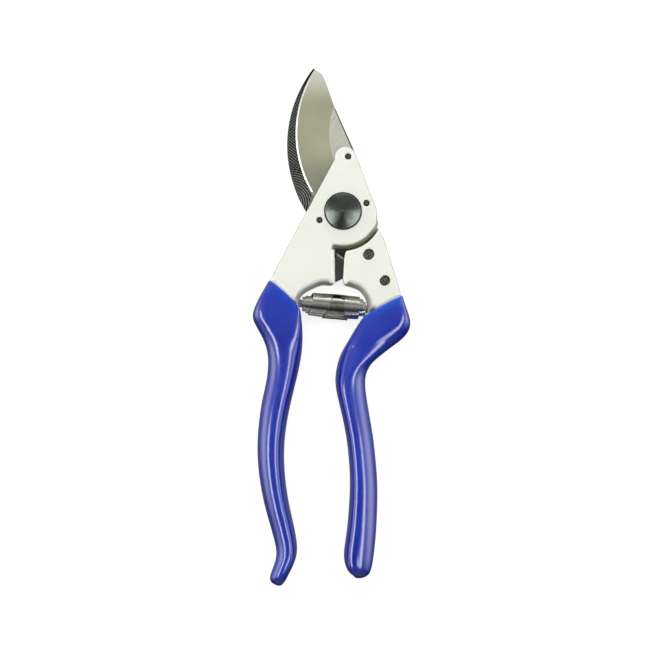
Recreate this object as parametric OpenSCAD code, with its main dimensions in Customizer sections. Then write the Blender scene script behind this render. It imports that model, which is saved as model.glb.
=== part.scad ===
// Bypass pruning shears, closed. Millimetres.
// The pivot axis is Z, the shears lie on z = 0, and the blades point along +Y.
// "Blade side" is the handle with the cutting blade, on the left seen from above (+Z).
// "Hook side" is the handle with the hooked counter blade, on the right.

/* [Levels] */
// Thickness of the nut under the shears
nut_h = 3; // [2.6:0.1:4]
// Thickness of the hook side's plate round the pivot
back_plate_t = 4; // [3.5:0.1:5]
// Thickness of the hooked counter blade
hook_t = 3; // [2.4:0.1:3.5]
// Gap between the two shearing faces
face_gap = 0.05; // [0.02:0.01:0.1]
// Thickness of the cutting blade
blade_t = 2.8; // [2.2:0.1:3.2]
// Thickness of the blade side's plate round the pivot
front_plate_t = 3.95; // [3.5:0.05:5]

/* [Pivot] */
// Radius of the pivot bolt's shank
bolt_r = 4; // [3.5:0.1:4.5]
// Radial running clearance between the bolt and its bush
running_gap = 0.05; // [0.02:0.01:0.1]
// Wall of the pivot bush
bush_wall = 1.15; // [0.8:0.05:1.5]
// Radius of the domed bolt head
dome_r = 7.2; // [6.8:0.1:7.4]
// Height of the domed bolt head
dome_h = 2.5; // [2:0.1:3]
// Radius of the washer under the dome
washer_r = 7.65; // [7.5:0.05:8]
// Radius of the nut over its teeth
nut_r = 7.5; // [7:0.1:8]
// Number of teeth on the nut's rim
nut_teeth = 24; // [16:2:30]

/* [Hub] */
// Radius of the plates and blades round the pivot
hub_r = 13.3; // [13:0.1:13.4]
// Radius of the blade side's front plate below the pivot
front_arc_r = 15.4; // [15:0.1:15.6]
// Radius at which the full-depth arms begin
arm_arc_r = 16.2; // [15.8:0.1:16.4]

/* [Blades] */
// Radius of the cutting edge's arc
edge_r = 47.7; // [47:0.1:48]
// Radius at which the ground bevel ends
bevel_r = 33.8; // [30:0.1:40]
// Steel left under the bevel at the cutting edge
edge_t = 0.35; // [0.2:0.05:0.6]
// Radius of the hook's outer arc
hook_r = 51.4; // [51:0.1:52]
// Radius of the three pins that hold the blade
blade_pin_r = 1.2; // [1:0.1:1.4]

/* [Grips] */
// Roundness of the grip's section, as a superellipse exponent
grip_power = 2.5; // [2:0.1:3]
// Depth of the aluminium core inside the grips
core_depth = 9.6; // [8:0.2:11]
// Plastic between the core and the side of the grip
coat_t = 2.3; // [1.8:0.1:2.6]

/* [Spring] */
// Length of the spring between the arms
spring_len = 26; // [25:0.1:26.2]
// Tilt of the spring's axis from X, in degrees
spring_tilt = -5; // [-6:0.5:-4]
// Outer radius of the middle band
spring_mid_r = 5.2; // [4.8:0.1:5.4]
// Outer radius of each end
spring_end_r = 2.85; // [2.6:0.05:3]
// Radius of the studs inside the spring
stud_r = 1.6; // [1.2:0.1:1.7]

/* [Catch] */
// Angle that the catch turns from released to locked, in degrees
catch_swing = 40; // [35:1:45]
// Thickness of the catch lever
lever_t = 1.4; // [1.2:0.1:1.5]
// Radius of the pin that the catch hooks
catch_pin_r = 1.5; // [1.2:0.1:1.6]
// Clearance round that pin
catch_gap = 0.3; // [0.2:0.05:0.4]

/* [Hidden] */

paint = [0.93, 0.94, 0.88];
pvc = [0.16, 0.22, 0.66];
ground_steel = [0.66, 0.66, 0.6];
dark_steel = [0.2, 0.21, 0.2];
zinc = [0.6, 0.6, 0.58];

z_back = nut_h;
z_hook = z_back + back_plate_t;
z_blade = z_hook + hook_t + face_gap;
z_front = z_blade + blade_t;
z_top = z_front + front_plate_t;
z_mid = (z_back + z_top) / 2;
round_fn = 64;
small_fn = 32;
past = 1;

// Points on an arc about c, from angle a0 to a1 in n steps.
function arc(c, r, a0, a1, n) =
    [for (i = [0 : n]) let (a = a0 + (a1 - a0) * i / n) c + r * [cos(a), sin(a)]];

// A Catmull-Rom curve through p, with n steps between neighbouring points.
function spline(a, b, c, d, t) =
    (2 * b + (c - a) * t + (2 * a - 5 * b + 4 * c - d) * t * t
    + (3 * b - a - 3 * c + d) * t * t * t) / 2;
function along(p, n) = concat(
    [for (i = [0 : len(p) - 2], k = [0 : n - 1])
        spline(p[max(i - 1, 0)], p[i], p[i + 1], p[min(i + 2, len(p) - 1)], k / n)],
    [p[len(p) - 1]]);

// ---- Outlines seen from above ----

// The blade side's outer edge is one straight line from the grip to the top of its plate.
edge_low = [-29.8, -28.3];
edge_high = [-3.4, 21];
function on_edge(x) =
    [x, edge_low[1] + (x - edge_low[0]) * (edge_high[1] - edge_low[1]) / (edge_high[0] - edge_low[0])];

dip_left_in = [-17.5, -40];
slot_left_top = [-3.3, -16];
slot_left_low = [-3.1, -28.3];
arm_start_x = -19.2;
arch_left = [dip_left_in, [-17.9, -36.9], [-16.3, -34], [-12.7, -31.8], [-8.6, -30.2],
    [-4.6, -30.2], slot_left_low];

dip_right_out = [23.9, -34.4];
dip_right_in = [9.4, -42.3];
slot_right_low = [0, -27.4];
slot_right_top = [0.5, -19];
arch_right = [dip_right_in, [9.9, -39.1], [9.2, -35.8], [6.8, -32.5], [3.4, -30.9],
    [0.7, -30], slot_right_low];

module front_plate_outline() {
    polygon(concat(
        [on_edge(-25), edge_high],
        arc([0.9, 21.8], 4.4, 190, 32, 14),
        [[7.4, 17.4], [10.7, 8.1], [13.5, 1.3], [13.8, -1.2], [14, -3.4]],
        arc([0, 0], front_arc_r, -20, -102, 24),
        [slot_left_top, [-3.2, -20]]));
}

module blade_arm_outline() {
    polygon(concat(
        [on_edge(arm_start_x), edge_low],
        along(arch_left, 4),
        [slot_left_top],
        arc([0, 0], arm_arc_r, -101.5, -157, 16)));
}

module hook_arm_outline() {
    polygon(concat(
        arc([0, 0], arm_arc_r, -85, -29, 16),
        [[14.9, -7.7], [15.8, -8.9], dip_right_out],
        along(arch_right, 4),
        [slot_right_top, [0.9, -17.2]]));
}

module back_plate_outline() {
    circle(r = hub_r, $fn = round_fn);
    polygon([[12.4, -4.5], [15.8, -8.9], [18, -16], slot_right_top, [-0.1, -20.6],
        [-2.6, -18.6], [-2.6, -16.8], [-4, -12.4]]);
}

// The hook's tang lies in a slot in the hook side's arm.
tang = [[12.9, -3], [14.6, -10], [20.9, -29], [19.2, -32.6], [15.6, -32.8], [12, -29.8],
    [5.6, -19.5], [2, -13.1]];
hook_centre = [28.7, 26.8];
hook_inner_centre = [39.7, 38.1];
hook_inner_r = 54.2;

module hook_outline() {
    polygon(concat(
        arc(hook_centre, hook_r, 142.4, 211, 36),
        arc([0, 0], hub_r, 192, 276, 14),
        [for (i = [len(tang) - 1 : -1 : 0]) tang[i]],
        arc([0, 0], hub_r, -8, 116, 24),
        [[-8, 12.6]],
        arc(hook_inner_centre, hook_inner_r, 206, 159.2, 30)));
}

edge_centre = [28.5, 31.7];
spine = [[4.6, 24.4], [-1.2, 37.4], [-3.9, 43.6], [-6.6, 51.4], [-8.1, 54.8], [-9.6, 56.9],
    [-11.4, 57.9]];

module blade_outline() {
    circle(r = hub_r, $fn = round_fn);
    polygon(concat(
        along(spine, 4),
        arc(edge_centre, edge_r, 146.9, 210.2, 36),
        [[-13, 5.2], [-14.4, 1.6], [-13.2, -2], [0, -8], [12.9, 1.3], [10.1, 7.9], [6.8, 17.2]]));
}

blade_pin_at = [[2.1, 22.1], [9.5, 3.2], [-9.5, -3.7]];
hook_rivet_at = [[10.4, -17.6, 2.2], [17, -28.2, 2.05]];

// ---- Grips ----

// Each station is [outer x, outer y, inner x, inner y, half depth], from the dip line to the tip.
left_grip = [
    [-29.8, -28.3, -17.5, -40, 7.9], [-33.3, -33.6, -16.7, -44.5, 8.1],
    [-36.1, -39.5, -16.4, -49, 8.2], [-36.7, -43.5, -16.4, -53, 8.3],
    [-34.6, -48, -16.7, -57, 8.4], [-31.9, -53.1, -17.3, -61, 8.5],
    [-30.4, -59.5, -18.4, -66.5, 8.8], [-30.9, -68, -20, -73, 9.2],
    [-33.3, -79, -22.2, -82.5, 9.6], [-34.8, -93, -23.8, -94, 9.8],
    [-34.3, -106, -23.7, -106, 9.8], [-32, -119, -22, -118.5, 9.6],
    [-28.9, -130, -19.4, -130, 9], [-26.9, -138.5, -18.5, -138, 8.4],
    [-28.1, -143.8, -20, -143.5, 7.8], [-29.7, -148.3, -22.2, -148, 6.8],
    [-29.2, -150.8, -23.4, -150.2, 5], [-27.3, -151.9, -24.6, -151.6, 2.2]];
right_grip = [
    [23.9, -34.4, 9.4, -42.3, 7.9], [25.7, -38.9, 6.7, -45.2, 8.1],
    [27.3, -43.8, 4.5, -48.6, 8.2], [27.2, -47.6, 2.3, -52.3, 8.3],
    [24.8, -51.3, 0, -56.2, 8.4], [20.2, -54.9, -1.8, -60.4, 8.5],
    [15, -58.9, -2.8, -65, 8.7], [10.8, -63, -3.1, -69, 8.9],
    [8.9, -69, -2.6, -73.6, 9.2], [10.2, -79.5, -0.6, -82, 9.6],
    [12.2, -91, 1.5, -92.5, 9.8], [13.5, -103, 2.6, -103.5, 9.8],
    [14.1, -114, 2.8, -114, 9.8], [13.6, -129, 1.7, -129, 9.2],
    [12.6, -139.5, 0.2, -139.5, 8.4], [11.6, -145.3, 1.4, -145, 7.2],
    [10.4, -147.8, 3, -147.2, 5.2], [8.4, -148.9, 5, -148.6, 2.2]];
ring_n = 20;
core_stations = 12;

function flat_power(v) = sign(v) * pow(abs(v), 2 / grip_power);
function ring(s) = [for (j = [0 : ring_n - 1]) let (a = 360 * j / ring_n) concat(
    ([s[0], s[1]] + [s[2], s[3]]) / 2 + ([s[0], s[1]] - [s[2], s[3]]) / 2 * flat_power(cos(a)),
    [z_mid + s[4] * flat_power(sin(a))])];
function grip_sides(rows) = [
    for (i = [0 : rows - 2], j = [0 : ring_n - 1], half = [0, 1])
        let (a = i * ring_n + j, b = i * ring_n + (j + 1) % ring_n)
        half == 0 ? [a, a + ring_n, b] : [b, a + ring_n, b + ring_n]];

// flip turns the faces outward on the grip whose stations run the other way round.
module grip_body(stations, flip) {
    rows = along(stations, 2);
    n = len(rows);
    first = [for (j = [0 : ring_n - 1]) j];
    last = [for (j = [ring_n - 1 : -1 : 0]) (n - 1) * ring_n + j];
    faces = concat([first], grip_sides(n), [last]);
    polyhedron(
        points = [for (s = rows) each ring(s)],
        faces = flip ? [for (f = faces) [for (k = [len(f) - 1 : -1 : 0]) f[k]]] : faces);
}

// The core's outline keeps coat_t inside the grip, tapering in over the first station.
function inset(s, from, to, d) =
    [s[from], s[from + 1]] + ([s[to], s[to + 1]] - [s[from], s[from + 1]])
    * d / norm([s[to], s[to + 1]] - [s[from], s[from + 1]]);
// above is how far the core's top end reaches past the dip line, for cutting a clean mouth.
module core(stations, above = 0) {
    n = core_stations;
    out = [for (i = [0 : n]) inset(stations[i], 0, 2, coat_t)];
    in = [for (i = [0 : n]) inset(stations[i], 2, 0, coat_t)];
    lead = above == 0 ? [] : [in[0] + above * (in[0] - in[1]) / norm(in[0] - in[1]),
        out[0] + above * (out[0] - out[1]) / norm(out[0] - out[1])];
    translate([0, 0, z_mid - core_depth / 2])
        linear_extrude(core_depth)
            polygon(concat(out, [for (i = [n : -1 : 0]) in[i]], lead));
}

// ---- Spring ----

spring_centre = [-3.7, -38.65, z_mid];
module on_spring_axis() {
    translate(spring_centre) rotate([0, 0, spring_tilt]) rotate([0, 90, 0]) children();
}
stud_root = 6;
stud_tip = 6.5;
module stud_bore(side) {
    on_spring_axis() rotate([0, side < 0 ? 180 : 0, 0])
        translate([0, 0, spring_len / 2]) cylinder(r = stud_r, h = stud_root, $fn = small_fn);
}

// ---- Catch, on the underside ----

catch_pivot = [-12, -21];
catch_pin_at = [4.5, -24.5];
catch_reach = norm(catch_pin_at - catch_pivot);
catch_locked = atan2(catch_pin_at[1] - catch_pivot[1], catch_pin_at[0] - catch_pivot[0]);
lever_gap = 0.25;
z_lever = z_back - lever_gap - lever_t;
catch_shoulder_r = 1.55;
thumb_reach = 9.6;
thumb_angle = 172;
thumb_at = thumb_reach * [cos(thumb_angle), sin(thumb_angle)];

// Places children in the lever's own frame: pivot at the origin, hook along +X, catch released.
module at_catch() {
    translate([catch_pivot[0], catch_pivot[1], 0])
        rotate([0, 0, catch_locked + catch_swing]) children();
}

// ---- Blade side ----

module blade_handle_frame() {
    color(paint)
        difference() {
            union() {
                translate([0, 0, z_front]) linear_extrude(front_plate_t) front_plate_outline();
                translate([0, 0, z_back]) linear_extrude(z_top - z_back) blade_arm_outline();
                core(left_grip);
            }
            translate([0, 0, z_front - past])
                cylinder(r = bolt_r + running_gap + bush_wall, h = front_plate_t + 2 * past,
                    $fn = round_fn);
            for (p = blade_pin_at)
                translate([p[0], p[1], z_front - past])
                    cylinder(r = blade_pin_r, h = front_plate_t + 2 * past, $fn = small_fn);
            stud_bore(-1);
            translate([catch_pivot[0], catch_pivot[1], z_back - past])
                cylinder(r = screw_r, h = screw_deep + past, $fn = small_fn);
        }
}
screw_r = 1.25;
screw_deep = 6;

module blade_handle_grip() {
    color(pvc)
        difference() {
            grip_body(left_grip, true);
            core(left_grip, past);
            stud_bore(-1);
        }
}

module cutting_blade() {
    color(ground_steel)
        difference() {
            translate([0, 0, z_blade]) linear_extrude(blade_t) blade_outline();
            // The bevel is a cone about the cutting edge's centre, ending at the plate's edge.
            intersection() {
                translate([edge_centre[0], edge_centre[1], 0])
                    rotate_extrude($fn = 180)
                        polygon([[bevel_r, z_front], [edge_r + 0.3, z_blade + edge_t],
                            [edge_r + 8, z_blade + edge_t], [edge_r + 8, z_front + past],
                            [bevel_r, z_front + past]]);
                translate([0, 0, z_blade])
                    linear_extrude(blade_t + past)
                        polygon([on_edge(-15.5), on_edge(20), [-20, 70], [-30, 40], [-30, 5]]);
            }
            translate([0, 0, z_blade - past])
                cylinder(r = bolt_r + running_gap + bush_wall, h = blade_t + 2 * past,
                    $fn = round_fn);
            for (p = blade_pin_at)
                translate([p[0], p[1], z_blade - past])
                    cylinder(r = blade_pin_r, h = blade_t + 2 * past, $fn = small_fn);
        }
}

module blade_pins() {
    color(dark_steel)
        for (p = blade_pin_at)
            translate([p[0], p[1], z_blade])
                cylinder(r = blade_pin_r, h = z_top - z_blade, $fn = small_fn);
}

module pivot_bush() {
    color(zinc)
        translate([0, 0, z_blade])
            difference() {
                cylinder(r = bolt_r + running_gap + bush_wall, h = z_top - z_blade,
                    $fn = round_fn);
                translate([0, 0, -past])
                    cylinder(r = bolt_r + running_gap, h = z_top - z_blade + 2 * past,
                        $fn = round_fn);
            }
}

module spring_stud(side) {
    color(zinc)
        on_spring_axis() rotate([0, side < 0 ? 180 : 0, 0])
            translate([0, 0, spring_len / 2 - stud_tip])
                cylinder(r = stud_r, h = stud_tip + stud_root, $fn = small_fn);
}
module spring_stud_left() { spring_stud(-1); }
module spring_stud_right() { spring_stud(1); }

module catch_screw() {
    color(dark_steel)
        translate([catch_pivot[0], catch_pivot[1], 0]) {
            translate([0, 0, 0.3]) cylinder(r = 2.8, h = z_lever - 0.35, $fn = small_fn);
            translate([0, 0, 0.3]) cylinder(r = catch_shoulder_r, h = z_back - 0.3, $fn = small_fn);
            translate([0, 0, 0.3]) cylinder(r = screw_r, h = z_back + screw_deep - 0.5,
                $fn = small_fn);
        }
}

module catch_washer() {
    color(zinc)
        translate([catch_pivot[0], catch_pivot[1], z_back - 0.2])
            difference() {
                cylinder(r = 3.4, h = 0.2, $fn = small_fn);
                translate([0, 0, -past]) cylinder(r = catch_shoulder_r, h = 2, $fn = small_fn);
            }
}

// ---- Hook side ----

module hook_handle_frame() {
    color(paint)
        difference() {
            union() {
                translate([0, 0, z_back]) linear_extrude(back_plate_t) back_plate_outline();
                translate([0, 0, z_back]) linear_extrude(z_top - z_back) hook_arm_outline();
                core(right_grip);
            }
            translate([0, 0, z_hook]) linear_extrude(hook_t) polygon(tang);
            translate([0, 0, z_back - past])
                cylinder(r = bolt_r, h = back_plate_t + 2 * past, $fn = round_fn);
            for (p = hook_rivet_at)
                translate([p[0], p[1], z_back - past])
                    cylinder(r = p[2], h = z_top - z_back + 2 * past, $fn = small_fn);
            stop_bumper_body();
            stud_bore(1);
            translate([catch_pin_at[0], catch_pin_at[1], z_back - past])
                cylinder(r = 1, h = 3 + past, $fn = small_fn);
            translate([lock_screw_at[0], lock_screw_at[1], z_back - past])
                cylinder(r = 1, h = 3 + past, $fn = small_fn);
        }
}

module hook_handle_grip() {
    color(pvc)
        difference() {
            grip_body(right_grip, true);
            core(right_grip, past);
            stud_bore(1);
        }
}

module hook_blade() {
    color(dark_steel)
        difference() {
            translate([0, 0, z_hook]) linear_extrude(hook_t) hook_outline();
            translate([0, 0, z_hook - past])
                cylinder(r = bolt_r, h = hook_t + 2 * past, $fn = round_fn);
            for (p = hook_rivet_at)
                translate([p[0], p[1], z_hook - past])
                    cylinder(r = p[2], h = hook_t + 2 * past, $fn = small_fn);
        }
}

module hook_rivets() {
    color(dark_steel)
        for (p = hook_rivet_at)
            translate([p[0], p[1], z_back])
                cylinder(r = p[2], h = z_top - z_back, $fn = small_fn);
}

dome_sphere_r = (dome_r * dome_r + (dome_h - 0.8) * (dome_h - 0.8)) / (2 * (dome_h - 0.8));
z_washer = z_top + 0.05;
washer_t = 0.5;
z_dome = z_washer + washer_t;
module pivot_bolt() {
    color(dark_steel) {
        cylinder(r = bolt_r, h = z_dome + 0.5, $fn = round_fn);
        translate([0, 0, z_dome])
            rotate_extrude($fn = round_fn)
                polygon(concat([[0, 0], [dome_r, 0]],
                    [for (i = [0 : 10]) let (x = dome_r * (1 - i / 10))
                        [x, dome_h - dome_sphere_r + sqrt(dome_sphere_r * dome_sphere_r - x * x)]]));
    }
}

module pivot_washer() {
    color(dark_steel)
        translate([0, 0, z_washer])
            difference() {
                cylinder(r = washer_r, h = washer_t, $fn = round_fn);
                translate([0, 0, -past]) cylinder(r = bolt_r, h = 3, $fn = round_fn);
            }
}

tooth_deep = 0.6;
module pivot_nut() {
    color(dark_steel)
        difference() {
            cylinder(r = nut_r, h = nut_h, $fn = round_fn);
            translate([0, 0, -past]) cylinder(r = bolt_r, h = nut_h + 2 * past, $fn = round_fn);
            for (i = [0 : nut_teeth - 1])
                rotate([0, 0, (i + 0.5) * 360 / nut_teeth])
                    translate([nut_r, 0, -past])
                        rotate([0, 0, 45])
                            cube([2 * tooth_deep, 2 * tooth_deep, 2 * nut_h + 4], center = true);
        }
}

// The lock plate's teeth sit in the nut's rim and its screw stops it from turning.
lock_angle = 60;
lock_screw_at = 10.6 * [cos(lock_angle), sin(lock_angle)];
module nut_lock_plate() {
    color(zinc)
        translate([0, 0, z_back - 1.2])
            difference() {
                linear_extrude(1.2)
                    polygon(concat(
                        arc([0, 0], nut_r + 0.2, lock_angle - 30, lock_angle + 30, 12),
                        arc([0, 0], 12.9, lock_angle + 20, lock_angle - 20, 10)));
                translate([lock_screw_at[0], lock_screw_at[1], -past])
                    cylinder(r = 1, h = 4, $fn = small_fn);
            }
}

module lock_plate_screw() {
    color(dark_steel)
        translate([lock_screw_at[0], lock_screw_at[1], 0.8]) {
            cylinder(r = 1.8, h = z_back - 1.2 - 0.8, $fn = small_fn);
            cylinder(r = 1, h = z_back + 2.5 - 0.8, $fn = small_fn);
        }
}

// The bumper stands in a pocket in the slot's wall and meets the other arm when closed.
module stop_bumper_body() {
    translate([0, 0, z_back + 1.5])
        linear_extrude(z_top - z_back - 3)
            polygon([[-2.95, -18.4], [1.4, -21], [1.1, -27], [-2.85, -28.9]]);
}
module stop_bumper() { color([0.07, 0.07, 0.07]) stop_bumper_body(); }

module catch_pin() {
    color(zinc)
        translate([catch_pin_at[0], catch_pin_at[1], 0]) {
            translate([0, 0, 0.5]) cylinder(r = 2.3, h = 0.6, $fn = small_fn);
            translate([0, 0, 0.5]) cylinder(r = catch_pin_r, h = z_back - 0.5, $fn = small_fn);
            translate([0, 0, 0.5]) cylinder(r = 1, h = z_back + 2, $fn = small_fn);
        }
}

spring_wall = 1.1;
module volute_spring() {
    half = spring_len / 2 - 0.05;
    outer = [[spring_end_r, half], [3.3, half - 3.6], [4.35, half - 4.6], [4.7, 3.4],
        [spring_mid_r, 2.4]];
    inner = [[stud_r + 0.3, half], [stud_r + 0.5, half - 3.6], [4.35 - spring_wall, half - 4.8],
        [spring_mid_r - spring_wall, 2.4]];
    color([0.75, 0.75, 0.76])
        on_spring_axis()
            rotate_extrude($fn = round_fn)
                polygon(concat(
                    outer, [for (i = [len(outer) - 1 : -1 : 0]) [outer[i][0], -outer[i][1]]],
                    [for (p = inner) [p[0], -p[1]]],
                    [for (i = [len(inner) - 1 : -1 : 0]) inner[i]]));
}

// ---- Thumb catch ----

// The slot's mouth faces the way the hook swings when it locks.
module thumb_catch() {
    slot_in = catch_reach - catch_pin_r - catch_gap;
    slot_out = catch_reach + catch_pin_r + catch_gap;
    color(zinc)
        at_catch() translate([0, 0, z_lever])
            difference() {
                union() {
                    cylinder(r = 4.2, h = lever_t, $fn = small_fn);
                    translate([0, -3.4, 0]) cube([catch_reach - 1, 6.2, lever_t]);
                    translate([catch_reach, 0, 0]) cylinder(r = 4, h = lever_t, $fn = small_fn);
                    rotate([0, 0, thumb_angle])
                        translate([0, -3.4, 0]) cube([thumb_reach, 6.8, lever_t]);
                    translate([thumb_at[0], thumb_at[1], 0])
                        cylinder(r = 4, h = lever_t, $fn = small_fn);
                }
                translate([0, 0, -past]) {
                    cylinder(r = catch_shoulder_r + running_gap, h = 4, $fn = small_fn);
                    translate([thumb_at[0], thumb_at[1], 0]) cylinder(r = 1, h = 4, $fn = small_fn);
                    translate([catch_reach, 0, 0])
                        cylinder(r = catch_pin_r + catch_gap, h = 4, $fn = small_fn);
                    linear_extrude(4)
                        polygon(concat(arc([0, 0], slot_out, 0, -24, 12),
                            arc([0, 0], slot_in, -24, 0, 12)));
                }
            }
}

rib_n = 5;
rib_pitch = 1.3;
module thumb_pad() {
    color([0.1, 0.1, 0.11])
        at_catch() translate([thumb_at[0], thumb_at[1], 0]) {
            translate([0, 0, 0.75]) cylinder(r = 3.9, h = z_lever - 0.75, $fn = small_fn);
            translate([0, 0, 0.75]) cylinder(r = 1, h = z_lever + lever_t - 0.75, $fn = small_fn);
            intersection() {
                translate([0, 0, 0.2]) cylinder(r = 3.6, h = 0.7, $fn = small_fn);
                for (i = [0 : rib_n - 1])
                    translate([(i - (rib_n - 1) / 2) * rib_pitch - 0.35, -4, 0.2])
                        cube([0.7, 8, 0.7]);
            }
        }
}

blade_handle_frame();
blade_handle_grip();
cutting_blade();
blade_pins();
pivot_bush();
hook_handle_frame();
hook_handle_grip();
hook_blade();
hook_rivets();
pivot_bolt();
pivot_washer();
pivot_nut();
nut_lock_plate();
lock_plate_screw();
stop_bumper();
volute_spring();
spring_stud_left();
spring_stud_right();
thumb_catch();
thumb_pad();
catch_screw();
catch_washer();
catch_pin();
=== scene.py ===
"""Pruning shears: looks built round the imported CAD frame. Geometry is worked out in mm."""
import math

import bpy
import numpy as np
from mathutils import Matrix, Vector


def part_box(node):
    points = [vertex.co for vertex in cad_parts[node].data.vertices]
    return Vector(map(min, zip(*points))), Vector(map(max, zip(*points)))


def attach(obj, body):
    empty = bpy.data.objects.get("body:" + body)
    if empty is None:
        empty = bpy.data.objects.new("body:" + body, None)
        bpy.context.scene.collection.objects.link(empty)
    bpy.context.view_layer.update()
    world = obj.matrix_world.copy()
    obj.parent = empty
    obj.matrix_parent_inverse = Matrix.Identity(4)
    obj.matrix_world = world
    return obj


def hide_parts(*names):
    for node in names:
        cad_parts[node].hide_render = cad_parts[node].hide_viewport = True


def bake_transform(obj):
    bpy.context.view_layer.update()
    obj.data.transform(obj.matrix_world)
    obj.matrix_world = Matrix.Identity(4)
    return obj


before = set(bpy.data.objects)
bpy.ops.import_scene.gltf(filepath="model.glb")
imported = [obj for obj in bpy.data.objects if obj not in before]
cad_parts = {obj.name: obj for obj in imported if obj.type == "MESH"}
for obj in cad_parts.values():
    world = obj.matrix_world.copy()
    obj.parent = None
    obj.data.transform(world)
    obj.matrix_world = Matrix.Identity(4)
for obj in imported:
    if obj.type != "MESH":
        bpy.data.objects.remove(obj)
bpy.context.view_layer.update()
MM = 0.001


# ------------ sizes read from the frame

def box_mm(node):
    """Lowest and highest corner of a CAD node, in mm."""
    low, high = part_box(node)
    return np.array(low) / MM, np.array(high) / MM


Z_BACK = box_mm("blade_handle_frame")[0][2]
Z_TOP = box_mm("blade_handle_frame")[1][2]
Z_MID = (Z_BACK + Z_TOP) / 2
HOOK_LOW, HOOK_HIGH = box_mm("hook_blade")[0][2], box_mm("hook_blade")[1][2]
BLADE_LOW, BLADE_HIGH = box_mm("cutting_blade")[0][2], box_mm("cutting_blade")[1][2]
# Arcs in plan, in mm, as in the CAD: the cutting edge, the end of its bevel, the hub and the
# lower edge of the front plate. The hidden hub is what keeps clear under the blade.
EDGE_CENTRE = np.array([28.5, 31.7])
EDGE_R = 47.7
BEVEL_R = 33.8
HUB_R = 13.3
HIDDEN_HUB_R = 12.7
FRONT_ARC_R = 15.4


# ------------ mesh helpers

def make_mesh(name, points_mm, faces, smooth_angle=40):
    """A mesh object from points in mm, shaded smooth except across edges sharper than the angle."""
    mesh = bpy.data.meshes.new(name)
    mesh.from_pydata((np.asarray(points_mm, float) * MM).tolist(), [], faces)
    mesh.validate()
    mesh.shade_smooth()
    mesh.set_sharp_from_angle(angle=math.radians(smooth_angle))
    obj = bpy.data.objects.new(name, mesh)
    bpy.context.scene.collection.objects.link(obj)
    return obj


def add_value(obj, name, values):
    """Stores one number a vertex, which a material can read."""
    layer = obj.data.attributes.new(name, "FLOAT", "POINT")
    layer.data.foreach_set("value", np.asarray(values, np.float32))


def smoothstep(low, high, x):
    """0 up to low, 1 from high on."""
    t = np.clip((x - low) / (high - low), 0, 1)
    return t * t * (3 - 2 * t)


def band(x, inner, outer):
    """1 as far as inner, 0 beyond outer."""
    return 1 - smoothstep(inner, outer, x)


def along(rows, steps):
    """A Catmull-Rom curve through the rows."""
    rows = np.asarray(rows, float)
    last = len(rows) - 1
    out = []
    for i in range(last):
        a, b = rows[max(i - 1, 0)], rows[i]
        c, d = rows[i + 1], rows[min(i + 2, last)]
        for t in np.arange(steps) / steps:
            cubic = (3 * b - a - 3 * c + d) * t ** 3
            out.append((2 * b + (c - a) * t + (2 * a - 5 * b + 4 * c - d) * t ** 2 + cubic) / 2)
    out.append(rows[last])
    return np.array(out)


def ring_faces(rows, count, closed=True):
    """Quads between neighbouring rings of count points."""
    span = count if closed else count - 1
    faces = []
    for i in range(rows - 1):
        for j in range(span):
            a, b = i * count + j, i * count + (j + 1) % count
            faces.append((a, b, b + count, a + count))
    return faces


def lathe(name, profile, centre, count):
    """A piece turned about Z; profile is (radius, height) in mm, from axis to axis."""
    turn = 2 * math.pi * np.arange(count) / count
    circle = np.column_stack([np.cos(turn), np.sin(turn)])
    rings = [np.column_stack([centre + r * circle, np.full(count, z)]) for r, z in profile[1:-1]]
    ends = [[*centre, profile[i][1]] for i in (0, -1)]
    faces = ring_faces(len(rings), count)
    first_end = len(rings) * count
    last_ring = first_end - count
    for j in range(count):
        k = (j + 1) % count
        faces += [(first_end, k, j), (last_ring + j, last_ring + k, first_end + 1)]
    return make_mesh(name, np.concatenate([*rings, ends]), faces)


# ------------ outlines cut from CAD nodes

def section(node, z):
    """The outline of a CAD node at height z in mm, as unordered segments (n, 2, 2)."""
    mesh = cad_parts[node].data
    mesh.calc_loop_triangles()
    points = np.array([v.co for v in mesh.vertices]) / MM
    corners = points[np.array([t.vertices for t in mesh.loop_triangles])]
    above = corners[:, :, 2] > z
    cut = above.any(1) & ~above.all(1)
    corners, above = corners[cut], above[cut]
    met, crossed = [], []
    for a, b in ((0, 1), (1, 2), (2, 0)):
        rise = corners[:, b, 2] - corners[:, a, 2]
        t = (z - corners[:, a, 2]) / np.where(rise == 0, 1, rise)
        met.append(corners[:, a, :2] + t[:, None] * (corners[:, b, :2] - corners[:, a, :2]))
        crossed.append(above[:, a] != above[:, b])
    return np.stack(met, 1)[np.stack(crossed, 1)].reshape(-1, 2, 2)


LOOP_GAP = 2.0
HOLE_MARGIN = 0.3
POINTS_AT_ONCE = 8000


def circles(node, z):
    """Centre and radius of each separate round loop in a section."""
    groups = []
    for segment in section(node, z):
        for group in groups:
            away = np.array(group).reshape(-1, 2) - segment[0]
            if np.linalg.norm(away, axis=1).min() < LOOP_GAP:
                group.append(segment)
                break
        else:
            groups.append([segment])
    found = []
    for group in groups:
        points = np.array(group).reshape(-1, 2)
        centre = (points.min(0) + points.max(0)) / 2
        found.append((centre, float(np.linalg.norm(points - centre, axis=1).max())))
    return found


def without(segments, holes):
    """The segments that don't belong to one of the round holes."""
    middle = segments.mean(1)
    keep = np.ones(len(segments), bool)
    for centre, radius in holes:
        keep &= np.linalg.norm(middle - centre, axis=1) > radius + HOLE_MARGIN
    return segments[keep]


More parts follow.
